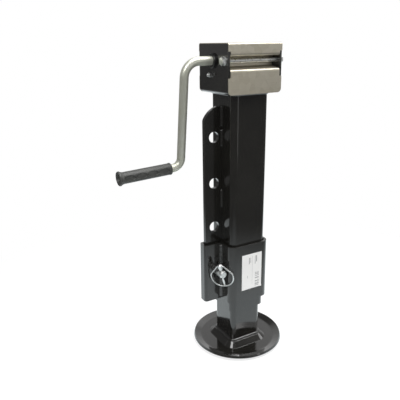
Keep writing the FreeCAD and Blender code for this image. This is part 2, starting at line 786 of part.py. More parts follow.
def outer_leg():
    save("outer_tube", square_tube(half_outer, outer_corner, outer_wall, outer_bottom, outer_top))
    plate_half = half_outer - outer_wall - fit_gap
    plate = square_bar(plate_half, outer_corner - outer_wall, top_plate_bottom, outer_top)
    bore = rod(screw_journal + 2 * fit_gap, V(0, 0, top_plate_bottom), V(0, 0, outer_top))
    save("bearing_plate", plate.cut(bore))
    save("bearing_upper_race", washer(bearing_diameter, screw_journal + 2 * race_gap, race_thick,
                                      V(0, 0, upper_race_bottom), V(0, 0, 1)))
    save("gear_washer", washer(gear_washer_diameter, screw_journal + 2 * fit_gap, gear_washer_thick,
                               V(0, 0, housing_base + housing_plate), V(0, 0, 1)))
    save("housing_weld", square_weld(half_outer, outer_corner, housing_weld_leg, housing_base, False))
    save("perforated_plate", perforated_plate())
    beads = []
    for drop, length in stitch_drops:
        for y, side in ((plate_front, V(0, -1, 0)), (plate_back, V(0, 1, 0))):
            corner = V(-half_outer, y, plate_top - drop)
            beads.append(fillet_bead(corner, stitch_leg, V(0, 0, length), V(-1, 0, 0), side))
    save("plate_welds", Part.makeCompound(beads))


def perforated_plate():
    """A flat bar on edge along the leg, with a row of locking holes and an arched top."""
    edge, inside = -plate_edge, -half_outer
    low_inside, low_edge = V(inside, plate_front, plate_bottom), V(edge, plate_front, plate_bottom)
    shoulder, top = V(edge, plate_front, plate_shoulder), V(inside, plate_front, plate_top)
    chord_middle = (shoulder + top) * 0.5
    chord = top - shoulder
    sagitta = plate_arc - math.sqrt(plate_arc ** 2 - (chord.Length / 2) ** 2)
    bulge = V(-chord.z, 0, chord.x).normalize() * sagitta
    arc = Part.Arc(shoulder, chord_middle + bulge, top).toShape()
    lower = Part.makePolygon([top, low_inside, low_edge, shoulder]).Edges
    plate = Part.Face(Part.Wire(lower + [arc])).extrude(V(0, plate_thick, 0))
    holes = []
    for k in range(plate_hole_count):
        z = plate_top_hole - k * plate_hole_pitch
        holes.append(rod(plate_hole_diameter, V(-pin_across, plate_front - cut_over, z),
                         V(-pin_across, plate_back + cut_over, z)))
    return plate.cut(Part.makeCompound(holes))


# The mounting sleeve

def sleeve_group():
    sleeve = square_tube(sleeve_outer, sleeve_corner, sleeve_wall, sleeve_bottom, sleeve_top)
    slot = box(-sleeve_outer - cut_over, -sleeve_inner + cut_over, channel_front, channel_back,
               sleeve_bottom - cut_over, sleeve_top + cut_over)
    save("mounting_sleeve", sleeve.cut(slot))
    outer = [V(-sleeve_inner, channel_front, sleeve_bottom), V(-channel_edge, channel_front, sleeve_bottom),
             V(-channel_edge, channel_back, sleeve_bottom), V(-sleeve_inner, channel_back, sleeve_bottom)]
    path = bent_path(outer, [channel_bend, channel_bend])
    sheet = path.makeOffset2D(sleeve_wall, 0, True, True)
    if sheet.BoundBox.XMin < -channel_edge - fit_gap:
        sheet = path.makeOffset2D(-sleeve_wall, 0, True, True)
    channel = sheet.extrude(V(0, 0, sleeve_height))
    pin_hole = rod(pin_hole_diameter, V(-pin_across, channel_front - cut_over, pin_height),
                   V(-pin_across, channel_back + cut_over, pin_height))
    save("sleeve_channel", channel.cut(pin_hole))
    save("sleeve_welds", Part.makeCompound(sleeve_welds()))


def sleeve_welds():
    """Two beads on each side of the channel, with a break where the locking pin passes."""
    lengths = ((sleeve_bottom + channel_weld_ends, pin_height - channel_weld_break / 2),
               (pin_height + channel_weld_break / 2, sleeve_top - channel_weld_ends))
    welds = []
    for z0, z1 in lengths:
        run = V(0, 0, z1 - z0)
        for y, side in ((channel_front, -1), (channel_back, 1)):
            corner = V(-sleeve_outer, y, z0)
            welds.append(fillet_bead(corner, channel_weld_leg, run, V(-1, 0, 0), V(0, side, 0)))
    return welds


# The locking pin, the linch pin and its ring

def linch_frame():
    """The linch pin's head centre, and directions down its shank, across the ring and off the ring's face."""
    tilt, turn = math.radians(linch_tilt), math.radians(ring_turn)
    down = V(math.sin(tilt), 0, -math.cos(tilt))
    across_flat = V(math.cos(tilt), 0, math.sin(tilt))
    across = across_flat * math.cos(turn) + V(0, -1, 0) * math.sin(turn)
    off = down.cross(across)
    head = V(-pin_across, -linch_plane, pin_height) - down * linch_above
    return head, down, across, off


def linch_pin():
    head, down, across, off = linch_frame()
    r_head, r_collar, r_shank = linch_head_diameter / 2, linch_collar_diameter / 2, linch_diameter / 2
    h, crown, edge = linch_head_half, linch_head_crown, linch_head_edge
    collar_end = h + linch_collar_length
    profile = [(0, -h), (r_head - crown, -h), (r_head, -h + crown), (r_head, h - edge), (r_head - edge, h),
               (r_collar, h), (r_collar, collar_end - edge), (r_shank, collar_end),
               (r_shank, linch_length - linch_tip), (r_shank - linch_tip_cut, linch_length),
               (0, linch_length)]
    reach = across * (r_head + cut_over)
    hole = rod(ring_wire + 2 * fit_gap, head - reach, head + reach)
    return place_on(turned(profile), head, down).cut(hole)


def linch_ring():
    """A wire loop: its two ends sit in the linch pin's head, its far side lies across the shank's tip."""
    head, down, across, off = linch_frame()
    lift = (ring_wire + linch_diameter) / 2 + loose_gap
    lean = math.asin(lift / ring_depth)
    fall = down * math.cos(lean) + off * math.sin(lean)
    start = linch_head_diameter / 2 - ring_inset
    side = [(start, 0), (ring_neck, 0), (ring_half_width, ring_shoulder), (ring_half_width, ring_depth)]
    outline = side + [(-a, b) for a, b in reversed(side)]
    points = [head + across * a + fall * b for a, b in outline]
    bends = [ring_neck_bend, ring_shoulder_bend, ring_bow]
    return bent_rod(points, bends + bends[::-1], ring_wire)


def pin_group():
    head, down, across, off = linch_frame()
    back = V(-pin_across, channel_back + loose_gap, pin_height)
    front = V(-pin_across, -pin_front_reach, pin_height)
    shank = chamfered_rod(pin_diameter, back, front, 0, pin_chamfer)
    cap = chamfered_rod(pin_head_diameter, back, back + V(0, pin_head_thick, 0), 0, pin_head_chamfer)
    hole = rod(linch_hole_diameter, head, head + down * linch_length)
    save("locking_pin", shank.fuse(cap).cut(hole))
    save("linch_pin", linch_pin())
    save("linch_ring", linch_ring())


inner_leg()
screw_group()
crank_group()
gear_head()
outer_leg()
sleeve_group()
pin_group()
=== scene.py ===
# Looks of the trailer prop stand: paint, zinc and galvanising, weld beads, grip, label and small parts,
# with a pale floor, soft lamps and the camera. Metres. +Z is up, the front is -Y, and the crank is on
# the -X side.
import json
import math
import random

import bpy
from mathutils import Matrix, Vector

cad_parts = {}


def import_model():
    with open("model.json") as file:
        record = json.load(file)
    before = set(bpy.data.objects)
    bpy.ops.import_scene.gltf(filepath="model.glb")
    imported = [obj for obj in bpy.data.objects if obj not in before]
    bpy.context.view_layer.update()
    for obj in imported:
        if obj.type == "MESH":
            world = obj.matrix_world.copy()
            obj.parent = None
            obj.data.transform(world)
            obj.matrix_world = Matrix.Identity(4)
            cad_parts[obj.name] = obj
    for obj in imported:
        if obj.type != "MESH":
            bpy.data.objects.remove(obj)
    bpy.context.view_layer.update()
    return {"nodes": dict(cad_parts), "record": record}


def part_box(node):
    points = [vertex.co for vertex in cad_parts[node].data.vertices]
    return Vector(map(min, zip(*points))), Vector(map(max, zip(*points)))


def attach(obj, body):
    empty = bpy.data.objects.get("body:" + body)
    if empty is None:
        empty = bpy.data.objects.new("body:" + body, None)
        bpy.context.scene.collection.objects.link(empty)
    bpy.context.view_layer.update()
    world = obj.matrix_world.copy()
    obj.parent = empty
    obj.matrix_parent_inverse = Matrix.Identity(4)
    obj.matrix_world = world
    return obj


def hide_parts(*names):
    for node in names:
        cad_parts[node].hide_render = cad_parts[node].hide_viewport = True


mm = 0.001
X, Y, Z = Vector((1, 0, 0)), Vector((0, 1, 0)), Vector((0, 0, 1))

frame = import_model()
slot_of = {part["node"]: part["material_slot"] for part in frame["record"]["subparts"]}

# Camera, fitted to the straight edges of the tubes, the housing and the sleeve
camera_place = (-0.5121, -0.7610, 0.6195)
camera_heading = -29.09
camera_down = 18.33
camera_roll = -0.89
camera_focal_px = 476.06
photo_side_px = 400
sensor_width_mm = 36.0

# White paper under and behind the stand, along the camera's view, which reflections see as a painted glow. It
# fades over these shares of its size.
paper_half_width = 0.56
paper_half_length = 1.2
paper_fade_start = 0.85
paper_fade_end = 1.6
paper_behind = 0.9
paper_direction = (-math.sin(math.radians(camera_heading)), math.cos(math.radians(camera_heading)), 0)
paper_left = 0.03
paper_middle = (paper_direction[0] * paper_behind - paper_direction[1] * paper_left,
                paper_direction[1] * paper_behind + paper_direction[0] * paper_left, 0)

# The floor. To the camera it glows near the foot, where it takes a shadow, and is plain white further out.
floor_radius = 14.0
floor_glow = 0.68
shadow_reach = 0.3
white_reach = 0.8

# What reflections see of the studio, and the light that fills it evenly
fill_strength = 0.54
ceiling_direction = (0.52, 0.08, 0.85)
ceiling_strength = 1.2
screen_direction = (0.7, -0.7, 0.1)
screen_strength = 0.45
wall_strength = 0.2
high_wall_strength = 0.14
hung_paper_low = 0.78
hung_paper_high = 0.6

# Lamps: name, place, what it is aimed at, width, height, watts
studio_lamps = (
    ("overhead", (0.15, -0.35, 1.9), (0, 0, 0.3), 1.5, 1.3, 20),
    ("front_left", (-1.35, -0.85, 1.55), (0, 0, 0.3), 0.8, 0.9, 12),
    ("high_right", (0.77, -0.37, 1.6), (0, 0, 0.3), 0.35, 0.35, 3),
    ("right", (1.5, -0.6, 1.0), (0, 0, 0.3), 0.7, 1.0, 5),
    ("front_strip", (0.55, -1.6, 0.6), (0, 0, 0.4), 0.2, 1.2, 0.9),
    ("left_strip", (-1.4, 1.15, 0.6), (0, 0, 0.4), 0.2, 1.1, 0.2),
)

# Crank and grip, placed as the solids are. The grip has a slimmer ring than its solid, and sunk panels.
crank_reach = 114.6 * mm
crank_throw = 195.0 * mm
crank_lean = 8.0
crank_droop = 2.7
grip_start = 22.0 * mm
grip_length = 104.0 * mm
grip_radius = 11.0 * mm
grip_bore = 8.05 * mm
grip_ring_radius = 11.5 * mm
grip_ring_length = 3.0 * mm
grip_ring_round = 0.6 * mm
grip_ring_slope = 0.8 * mm
grip_flange_radius = 13.5 * mm
grip_flange_length = 5.0 * mm
grip_flange_step = 1.2 * mm
grip_flange_slope = 1.5 * mm
grip_flange_round = 1.0 * mm
grip_flare_length = 4.0 * mm
grip_lip = 3.0 * mm
grip_hollow = 4.0 * mm
grip_panel_count = 4
grip_panel_first = 17.0 * mm
grip_panel_pitch = 22.5 * mm
grip_panel_length = 22.0 * mm
grip_panel_width = 11.0 * mm
grip_panel_depth = 1.8 * mm
grip_voxel = 0.45 * mm

# Outside corners of the tubes, which the welds follow
outer_tube_corner = 12.0 * mm
inner_tube_corner = 10.0 * mm

# Welds. A ripple's length, breadth, height and lift off the corner are shares of the bead's size.
foot_bead = 4.5 * mm
housing_bead = 4.8 * mm
stitch_bead = 4.6 * mm
sleeve_bead = 6.0 * mm
ripple_pitch = 1.9 * mm
ripple_length = 0.45
ripple_breadth = 0.8
ripple_play = 0.04
ripple_flatness = 0.72
ripple_lift = 0.08
ripple_cut = -0.2
bead_voxel = 0.6 * mm

# Label on the sleeve
label_width = 48.0 * mm
label_height = 78.0 * mm
label_thick = 0.15 * mm
label_right = 27.8 * mm
label_bottom = 136.0 * mm

# Print on the label, millimetres from its centre: left, right, bottom, top
label_bars = (8, 18, -35, -3)
label_strokes = ((-7.0, -5.8, 17, 31), (-3.6, -2.8, 20, 31), (7.5, 8.5, 15, 33), (10.5, 12.0, 19, 33),
                 (-10.5, -9.9, -14, -8), (1.0, 1.3, -30, 34))

# The label's lifted corner: what lies within each reach of the corner is lifted this much more
label_lifts = ((7 * mm, 0.12 * mm), (5 * mm, 0.2 * mm), (3 * mm, 0.3 * mm))

# Split pin: a doubled wire with an eye, its ends bent away round the shaft
split_wire_radius = 0.72 * mm
split_eye_radius = 2.1 * mm
split_length = 20.0 * mm
split_bend_radius = 1.4 * mm
split_bend_angle = 80.0
split_end = 5.0 * mm
wire_bend_step = 12.0

# Bolt threads: bolt, its nut, the way its end points along X, diameter, pitch, how far it starts in the nut
bolt_ends = (("tie_bolt", "tie_bolt_nut", 1, 8 * mm, 1.25 * mm, 0.6 * mm),
             ("locating_bolt", "locating_nut", -1, 5 * mm, 0.8 * mm, 0.4 * mm))
thread_height = 0.3 * mm
thread_sunk = 0.1 * mm
thread_segments = 28

# Rounding of cut and bent steel edges, by the node it is done on
plate_edge_round = 0.7 * mm
sheet_edge_round = 0.35 * mm
rounded_nodes = (("perforated_plate", plate_edge_round), ("mounting_sleeve", plate_edge_round),
                 ("sleeve_channel", plate_edge_round), ("gear_housing", plate_edge_round),
                 ("outer_tube", sheet_edge_round), ("inner_tube", sheet_edge_round),
                 ("gear_cover", sheet_edge_round), ("foot_plate", sheet_edge_round))
leg_nodes = ("inner_tube", "foot_plate")
flat_angle = math.radians(1.0)
edge_angle = math.radians(35.0)

# Faces that meet at a smaller angle than this are shaded as one, on flat and on round pieces
flat_piece_smooth = 40.0
round_piece_smooth = 60.0

# How near points are when they are merged
double_reach = 0.01 * mm
copy_double_reach = 0.001 * mm


# Selecting and finishing

def deselect():
    if bpy.context.mode != "OBJECT":
        bpy.ops.object.mode_set(mode="OBJECT")
    bpy.ops.object.select_all(action="DESELECT")


def pick(*objects):
    """Selects these objects alone, the first one active."""
    deselect()
    for obj in objects:
        obj.select_set(True)
    bpy.context.view_layer.objects.active = objects[0]


def edit(obj):
    """Opens the piece in edit mode with all of it selected."""
    pick(obj)
    bpy.ops.object.mode_set(mode="EDIT")
    bpy.ops.mesh.select_all(action="SELECT")


def apply_modifier(obj, kind, **settings):
    pick(obj)
    modifier = obj.modifiers.new(kind.lower(), kind)
    for name, value in settings.items():
        setattr(modifier, name, value)
    bpy.ops.object.modifier_apply(modifier=modifier.name)


def settle(obj):
    """Puts the piece's place, turn and scale into its mesh."""
    pick(obj)
    bpy.ops.object.transform_apply(location=True, rotation=True, scale=True)


def stand_on(obj, origin, axis):
    """Moves a piece that was modelled along Z onto another axis."""
    obj.matrix_world = Matrix.Translation(origin) @ axis.to_track_quat("Z", "Y").to_matrix().to_4x4()
    settle(obj)


def hand_over(obj, name, body, slot, smooth, replaced=(), flat_faces=False):
    """Names a finished piece, smooths it, paints it and puts it on its body."""
    settle(obj)
    obj.name = name
    obj.data.name = name
    bpy.ops.object.shade_smooth_by_angle(angle=math.radians(smooth))
    if flat_faces:
        apply_modifier(obj, "WEIGHTED_NORMAL", keep_sharp=True, weight=100)
    obj.data.materials.clear()
    obj.data.materials.append(materials[slot])
    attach(obj, body)
    if replaced:
        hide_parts(*replaced)


def joined(objects):
    pick(*objects)
    bpy.ops.object.join()
    return bpy.context.object


def copy_of(template, matrix):
    """A copy with its own mesh at another place."""
    made = template.copy()
    made.data = template.data.copy()
    bpy.context.scene.collection.objects.link(made)
    made.matrix_world = matrix
    return made


# Modelling moves

def raised_rings(profile, segments):
    """A turned form about Z: a ring at the first (radius, height), extruded and scaled to each next one."""
    deselect()
    radius, height = profile[0]
    bpy.ops.mesh.primitive_circle_add(vertices=segments, radius=radius, location=(0, 0, height))
    obj = bpy.context.object
    settle(obj)
    edit(obj)
    for (r0, h0), (r1, h1) in zip(profile, profile[1:]):
        bpy.ops.mesh.extrude_region_move(TRANSFORM_OT_translate={"value": (0, 0, h1 - h0)})
        bpy.ops.transform.resize(value=(r1 / r0, r1 / r0, 1), center_override=(0, 0, h1))
    return obj


def close_up(obj):
    """Merges doubles, caps what is open and turns all faces outwards."""
    edit(obj)
    bpy.ops.mesh.remove_doubles(threshold=double_reach)
    bpy.ops.mesh.fill_holes(sides=0)
    bpy.ops.mesh.normals_make_consistent(inside=False)
    deselect()


def softened(node, width):
    """The node's own form with its sharp edges rounded as paint or rolling leaves them."""
    solid = frame["nodes"][node]
    obj = copy_of(solid, Matrix.Identity(4))
    obj.parent = None
    for key in list(obj.keys()):
        del obj[key]
    pick(obj)
    bpy.ops.mesh.customdata_custom_splitnormals_clear()
    edit(obj)
    bpy.ops.mesh.remove_doubles(threshold=copy_double_reach)
    bpy.ops.mesh.dissolve_limited(angle_limit=flat_angle)
    deselect()
    apply_modifier(obj, "BEVEL", width=width, segments=2, limit_method="ANGLE",
                   angle_limit=edge_angle, use_clamp_overlap=True, harden_normals=False)
    return obj


def square_round_path(half, corner, height, step):
    """Places and outward directions along a square with round corners, a step apart."""
    straight = 2 * (half - corner)
    quarter = math.pi * corner / 2
    length = 4 * (straight + quarter)
    count = round(length / step)
    places = []
    for k in range(count):
        side, along = divmod(k * length / count, straight + quarter)
        turn = Matrix.Rotation(side * math.pi / 2, 3, "Z")
        if along < straight:
            place, out = Vector((half, along - straight / 2, height)), X
        else:
            angle = (along - straight) / corner
            out = Vector((math.cos(angle), math.sin(angle), 0))
            place = Vector((half - corner, half - corner, height)) + out * corner
        places.append((turn @ place, turn @ out))
    return places


def straight_path(start, end, out, step):
    count = max(2, round((end - start).length / step))
    return [(start.lerp(end, (k + 0.5) / count), out) for k in range(count)]


def weld_bead(runs, size):
    """Overlapping ripples laid along corners, melted into one bead. A run is a path with the direction
    that points into the corner's other face."""
    deselect()
    bpy.ops.mesh.primitive_uv_sphere_add(segments=14, ring_count=8, radius=1)
    ripple = bpy.context.object
    edit(ripple)
    bpy.ops.mesh.bisect(plane_co=(0, 0, ripple_cut), plane_no=Z, clear_inner=True, use_fill=True)
    deselect()
    ripples = []
    for path, down in runs:
        for place, out in path:
            face = (out - down).normalized()
            run = out.cross(down).normalized()
            swell = size * (ripple_breadth + ripple_play * chance.random())
            turn = Matrix((run, face.cross(run), face)).transposed().to_4x4()
            squash = Matrix.Diagonal((ripple_length * size, swell, swell * ripple_flatness, 1))
            lifted = Matrix.Translation(place + face * size * ripple_lift)
            ripples.append(copy_of(ripple, lifted @ turn @ squash))
    bpy.data.objects.remove(ripple)
    bead = joined(ripples)
    settle(bead)
    apply_modifier(bead, "REMESH", mode="VOXEL", voxel_size=bead_voxel)
    apply_modifier(bead, "SMOOTH", factor=0.5, iterations=3)
    return bead


def bent_wire(radius, moves):
    """A round wire in the XY plane that sets off from the origin along X. A move is a length straight on
    and 0, or a radius and the angle to bend it by, to the left where the angle is positive."""
    deselect()
    bpy.ops.mesh.primitive_circle_add(vertices=12, radius=radius, fill_type="NGON",
                                      rotation=(0, math.pi / 2, 0))
    obj = bpy.context.object
    settle(obj)
    edit(obj)
    place, heading = Vector(), 0.0
    for length, angle in moves:
        ahead = Vector((math.cos(heading), math.sin(heading), 0))
        if angle == 0:
            bpy.ops.mesh.extrude_region_move(TRANSFORM_OT_translate={"value": ahead * length})
            place += ahead * length
            continue
        side = Z.cross(ahead) * math.copysign(length, angle)
        steps = max(3, round(abs(angle) / wire_bend_step))
        bpy.ops.mesh.spin(steps=steps, angle=math.radians(abs(angle)), center=place + side,
                          axis=(0, 0, math.copysign(1, angle)))
        place = place + side + Matrix.Rotation(math.radians(angle), 3, "Z") @ -side
        heading += math.radians(angle)
    deselect()
    close_up(obj)
    return obj


def thread(diameter, pitch, length, start, axis):
    """A helical ridge on a bolt's shank, from a triangle whose foot is sunk in the shank."""
    deselect()
    bpy.ops.mesh.primitive_circle_add(vertices=3, radius=1)
    obj = bpy.context.object
    triangle_height = 1.5
    reach = (thread_height + thread_sunk) / triangle_height
    tip_outwards = Matrix((Z, X, Y)).transposed().to_4x4()
    place = Matrix.Translation((diameter / 2 + thread_height - reach, 0, pitch / 2))
    obj.matrix_world = place @ tip_outwards @ Matrix.Diagonal((pitch / 2, reach, 1, 1))
    settle(obj)
    apply_modifier(obj, "SCREW", screw_offset=pitch, iterations=int(length / pitch), steps=thread_segments,
                   render_steps=thread_segments)
    close_up(obj)
    stand_on(obj, start, axis)
    return obj


# Materials. Colours are sRGB hex, patterns are scaled in real millimetres.

def linear(hex_colour):
    """An sRGB hex colour as the linear colour that a socket takes."""
    channels = [int(hex_colour[k:k + 2], 16) / 255 for k in (1, 3, 5)]
    return [c / 12.92 if c <= 0.04045 else ((c + 0.055) / 1.055) ** 2.4 for c in channels] + [1.0]


def add(tree, kind, settings=None, inputs=None):
    """Adds a node with its settings. An input is a value, or another node's output, which is linked."""
    made = tree.nodes.new(kind)
    for name, value in (settings or {}).items():
        setattr(made, name, value)
    for name, value in (inputs or {}).items():
        if isinstance(value, bpy.types.NodeSocket):
            tree.links.new(value, made.inputs[name])
        else:
            made.inputs[name].default_value = value
    return made


def per(size_mm):
    """A texture's scale for a pattern of this size in millimetres."""
    return 1 / (size_mm * mm)


def blank(name):
    """A new material with its shader and output, and the object coordinates."""
    made = bpy.data.materials.new(name)
    made.use_nodes = True
    tree = made.node_tree
    tree.nodes.clear()
    shader = add(tree, "ShaderNodeBsdfPrincipled")
    add(tree, "ShaderNodeOutputMaterial", inputs={"Surface": shader.outputs["BSDF"]})
    where = add(tree, "ShaderNodeTexCoord").outputs["Object"]
    return made, tree, shader, where


def black_enamel():
    # Sprayed gloss alkyd enamel on mild steel: near black, wet-looking under its clear surface, with faint
    # orange peel, slow waves that wobble its reflections, duller patches and a few dust specks.
    made, tree, shader, where = blank("gloss_black_enamel")
    patches = add(tree, "ShaderNodeTexNoise", inputs={"Vector": where, "Scale": per(70), "Detail": 4.0})
    tint = add(tree, "ShaderNodeValToRGB", inputs={"Fac": patches.outputs["Fac"]})
    tint.color_ramp.elements[0].position = 0.35
    tint.color_ramp.elements[0].color = linear("#181715")
    tint.color_ramp.elements[1].position = 0.7
    tint.color_ramp.elements[1].color = linear("#201f1c")
    specks = add(tree, "ShaderNodeTexVoronoi", inputs={"Vector": where, "Scale": per(9)})
    is_speck = add(tree, "ShaderNodeMapRange", {"clamp": True},
                   {"Value": specks.outputs["Distance"], "From Min": 0.05, "From Max": 0.03})
    dusty = add(tree, "ShaderNodeMix", {"data_type": "RGBA"},
                {0: is_speck.outputs[0], 6: tint.outputs["Color"], 7: linear("#2c2d2e")})
    tree.links.new(dusty.outputs[2], shader.inputs["Base Color"])
    gloss = add(tree, "ShaderNodeMapRange",
                inputs={"Value": patches.outputs["Fac"], "From Min": 0.3, "From Max": 0.75,
                        "To Min": 0.09, "To Max": 0.2})
    tree.links.new(gloss.outputs[0], shader.inputs["Roughness"])
    peel = add(tree, "ShaderNodeTexNoise", inputs={"Vector": where, "Scale": per(2.2), "Detail": 2.0})
    waves = add(tree, "ShaderNodeTexNoise", inputs={"Vector": where, "Scale": per(28), "Detail": 1.0})
    wavy = add(tree, "ShaderNodeBump", inputs={"Height": waves.outputs["Fac"], "Strength": 0.2,
                                               "Distance": 0.5 * mm})
    bump = add(tree, "ShaderNodeBump", inputs={"Height": peel.outputs["Fac"], "Strength": 0.18,
                                               "Distance": 0.06 * mm, "Normal": wavy.outputs["Normal"]})
    tree.links.new(bump.outputs["Normal"], shader.inputs["Normal"])
    tree.links.new(wavy.outputs["Normal"], shader.inputs["Coat Normal"])
    shader.inputs["Coat Weight"].default_value = 1.0
    shader.inputs["Coat Roughness"].default_value = 0.06
    shader.inputs["IOR"].default_value = 1.52
    return made


def galvanised_steel():
    # Continuously galvanised sheet, skin-passed: warm grey, satin, soft-edged spangle some 10 mm across,
    # with fine rolling streaks along the folds and a slightly duller bloom in places.
    made, tree, shader, where = blank("galvanised_sheet_steel")
    spangle = add(tree, "ShaderNodeTexVoronoi", inputs={"Vector": where, "Scale": per(11)})
    flow = add(tree, "ShaderNodeMapping", inputs={"Vector": where, "Scale": (0.03, 1.0, 1.0)})
    streaks = add(tree, "ShaderNodeTexNoise",
                  inputs={"Vector": flow.outputs[0], "Scale": per(1.4), "Detail": 3.0})
    bloom = add(tree, "ShaderNodeTexNoise", inputs={"Vector": where, "Scale": per(45), "Detail": 3.0})
    grain = add(tree, "ShaderNodeSeparateColor", inputs={"Color": spangle.outputs["Color"]})
    blend = add(tree, "ShaderNodeMix", {"data_type": "FLOAT"},
                {0: 0.45, 2: grain.outputs[0], 3: streaks.outputs["Fac"]})
    mixed = add(tree, "ShaderNodeMix", {"data_type": "FLOAT"},
                {0: 0.35, 2: blend.outputs[0], 3: bloom.outputs["Fac"]})
    tint = add(tree, "ShaderNodeValToRGB", inputs={"Fac": mixed.outputs[0]})
    tint.color_ramp.elements[0].position = 0.2
    tint.color_ramp.elements[0].color = linear("#beb7a5")
    tint.color_ramp.elements[1].position = 0.8
    tint.color_ramp.elements[1].color = linear("#d2ccbc")
    tree.links.new(tint.outputs["Color"], shader.inputs["Base Color"])
    gloss = add(tree, "ShaderNodeMapRange",
                inputs={"Value": mixed.outputs[0], "From Min": 0.2, "From Max": 0.8,
                        "To Min": 0.42, "To Max": 0.3})
    tree.links.new(gloss.outputs[0], shader.inputs["Roughness"])
    bump = add(tree, "ShaderNodeBump", inputs={"Height": streaks.outputs["Fac"], "Strength": 0.12,
                                               "Distance": 0.05 * mm})
    tree.links.new(bump.outputs["Normal"], shader.inputs["Normal"])
    shader.inputs["Metallic"].default_value = 0.8
    return made


def zinc_rod():
    # Cold drawn bar, bent and then electroplated with zinc and clear passivated: bright with a faint
    # green-yellow cast, soft draw lines along the bar and a little cloudiness. The passivation's milky
    # film scatters part of the light, so it isn't all metal.
    made, tree, shader, where = blank("zinc_plated_drawn_bar")
    clouds = add(tree, "ShaderNodeTexNoise", inputs={"Vector": where, "Scale": per(16), "Detail": 5.0})
    flow = add(tree, "ShaderNodeMapping", inputs={"Vector": where, "Scale": (1.0, 1.0, 0.04)})
    lines = add(tree, "ShaderNodeTexNoise",
                inputs={"Vector": flow.outputs[0], "Scale": per(1.1), "Detail": 2.0})
    tint = add(tree, "ShaderNodeValToRGB", inputs={"Fac": clouds.outputs["Fac"]})
    tint.color_ramp.elements[0].position = 0.3
    tint.color_ramp.elements[0].color = linear("#dbdccb")
    tint.color_ramp.elements[1].position = 0.7
    tint.color_ramp.elements[1].color = linear("#e9eadd")
    tree.links.new(tint.outputs["Color"], shader.inputs["Base Color"])
    gloss = add(tree, "ShaderNodeMapRange",
                inputs={"Value": clouds.outputs["Fac"], "From Min": 0.3, "From Max": 0.7,
                        "To Min": 0.44, "To Max": 0.34})
    tree.links.new(gloss.outputs[0], shader.inputs["Roughness"])
    bump = add(tree, "ShaderNodeBump", inputs={"Height": lines.outputs["Fac"], "Strength": 0.08,
                                               "Distance": 0.04 * mm})
    tree.links.new(bump.outputs["Normal"], shader.inputs["Normal"])
    shader.inputs["Metallic"].default_value = 0.72
    return made


def soft_vinyl():
    # Dip-moulded plasticised PVC: satin charcoal with a fine pebble grain, a touch greyer where it is rubbed.
    made, tree, shader, where = blank("moulded_soft_vinyl")
    rubbed = add(tree, "ShaderNodeTexNoise", inputs={"Vector": where, "Scale": per(12), "Detail": 4.0})
    tint = add(tree, "ShaderNodeValToRGB", inputs={"Fac": rubbed.outputs["Fac"]})
    tint.color_ramp.elements[0].position = 0.35
    tint.color_ramp.elements[0].color = linear("#3f403e")
    tint.color_ramp.elements[1].position = 0.7
    tint.color_ramp.elements[1].color = linear("#4f504d")
    tree.links.new(tint.outputs["Color"], shader.inputs["Base Color"])
    grain = add(tree, "ShaderNodeTexVoronoi", inputs={"Vector": where, "Scale": per(0.9)})
    gloss = add(tree, "ShaderNodeMapRange",
                inputs={"Value": rubbed.outputs["Fac"], "To Min": 0.36, "To Max": 0.5})
    tree.links.new(gloss.outputs[0], shader.inputs["Roughness"])
    bump = add(tree, "ShaderNodeBump", inputs={"Height": grain.outputs["Distance"], "Strength": 0.2,
                                               "Distance": 0.06 * mm})
    tree.links.new(bump.outputs["Normal"], shader.inputs["Normal"])
    shader.inputs["IOR"].default_value = 1.53
    return made


def nylon():
    # Injection moulded black nylon: even, slightly waxy, with a light spark-eroded texture.
    made, tree, shader, where = blank("moulded_black_nylon")
    texture = add(tree, "ShaderNodeTexNoise", inputs={"Vector": where, "Scale": per(0.8), "Detail": 2.0})
    cloud = add(tree, "ShaderNodeTexNoise", inputs={"Vector": where, "Scale": per(9), "Detail": 2.0})
    tint = add(tree, "ShaderNodeMix", {"data_type": "RGBA"},
               {0: cloud.outputs["Fac"], 6: linear("#0c0d0d"), 7: linear("#181919")})
    tree.links.new(tint.outputs[2], shader.inputs["Base Color"])
    gloss = add(tree, "ShaderNodeMapRange",
                inputs={"Value": cloud.outputs["Fac"], "To Min": 0.28, "To Max": 0.45})
    tree.links.new(gloss.outputs[0], shader.inputs["Roughness"])
    bump = add(tree, "ShaderNodeBump", inputs={"Height": texture.outputs["Fac"], "Strength": 0.15,
                                               "Distance": 0.04 * mm})
    tree.links.new(bump.outputs["Normal"], shader.inputs["Normal"])
    shader.inputs["IOR"].default_value = 1.53
    return made


def plated_metal(name, dark, light, smooth, rough, grain_mm, cloud_mm, depth=0.03):
    """A metal with clouds of colour and gloss, and a fine grain in its surface."""
    made, tree, shader, where = blank(name)
    clouds = add(tree, "ShaderNodeTexNoise", inputs={"Vector": where, "Scale": per(cloud_mm), "Detail": 4.0})
    tint = add(tree, "ShaderNodeValToRGB", inputs={"Fac": clouds.outputs["Fac"]})
    tint.color_ramp.elements[0].position = 0.3
    tint.color_ramp.elements[0].color = linear(dark)
    tint.color_ramp.elements[1].position = 0.7
    tint.color_ramp.elements[1].color = linear(light)
    tree.links.new(tint.outputs["Color"], shader.inputs["Base Color"])
    gloss = add(tree, "ShaderNodeMapRange",
                inputs={"Value": clouds.outputs["Fac"], "From Min": 0.3, "From Max": 0.7,
                        "To Min": smooth, "To Max": rough})
    tree.links.new(gloss.outputs[0], shader.inputs["Roughness"])
    grain = add(tree, "ShaderNodeTexNoise", inputs={"Vector": where, "Scale": per(grain_mm), "Detail": 2.0})
    bump = add(tree, "ShaderNodeBump", inputs={"Height": grain.outputs["Fac"], "Strength": 0.15,
                                               "Distance": depth * mm})
    tree.links.new(bump.outputs["Normal"], shader.inputs["Normal"])
    shader.inputs["Metallic"].default_value = 1.0
    return made


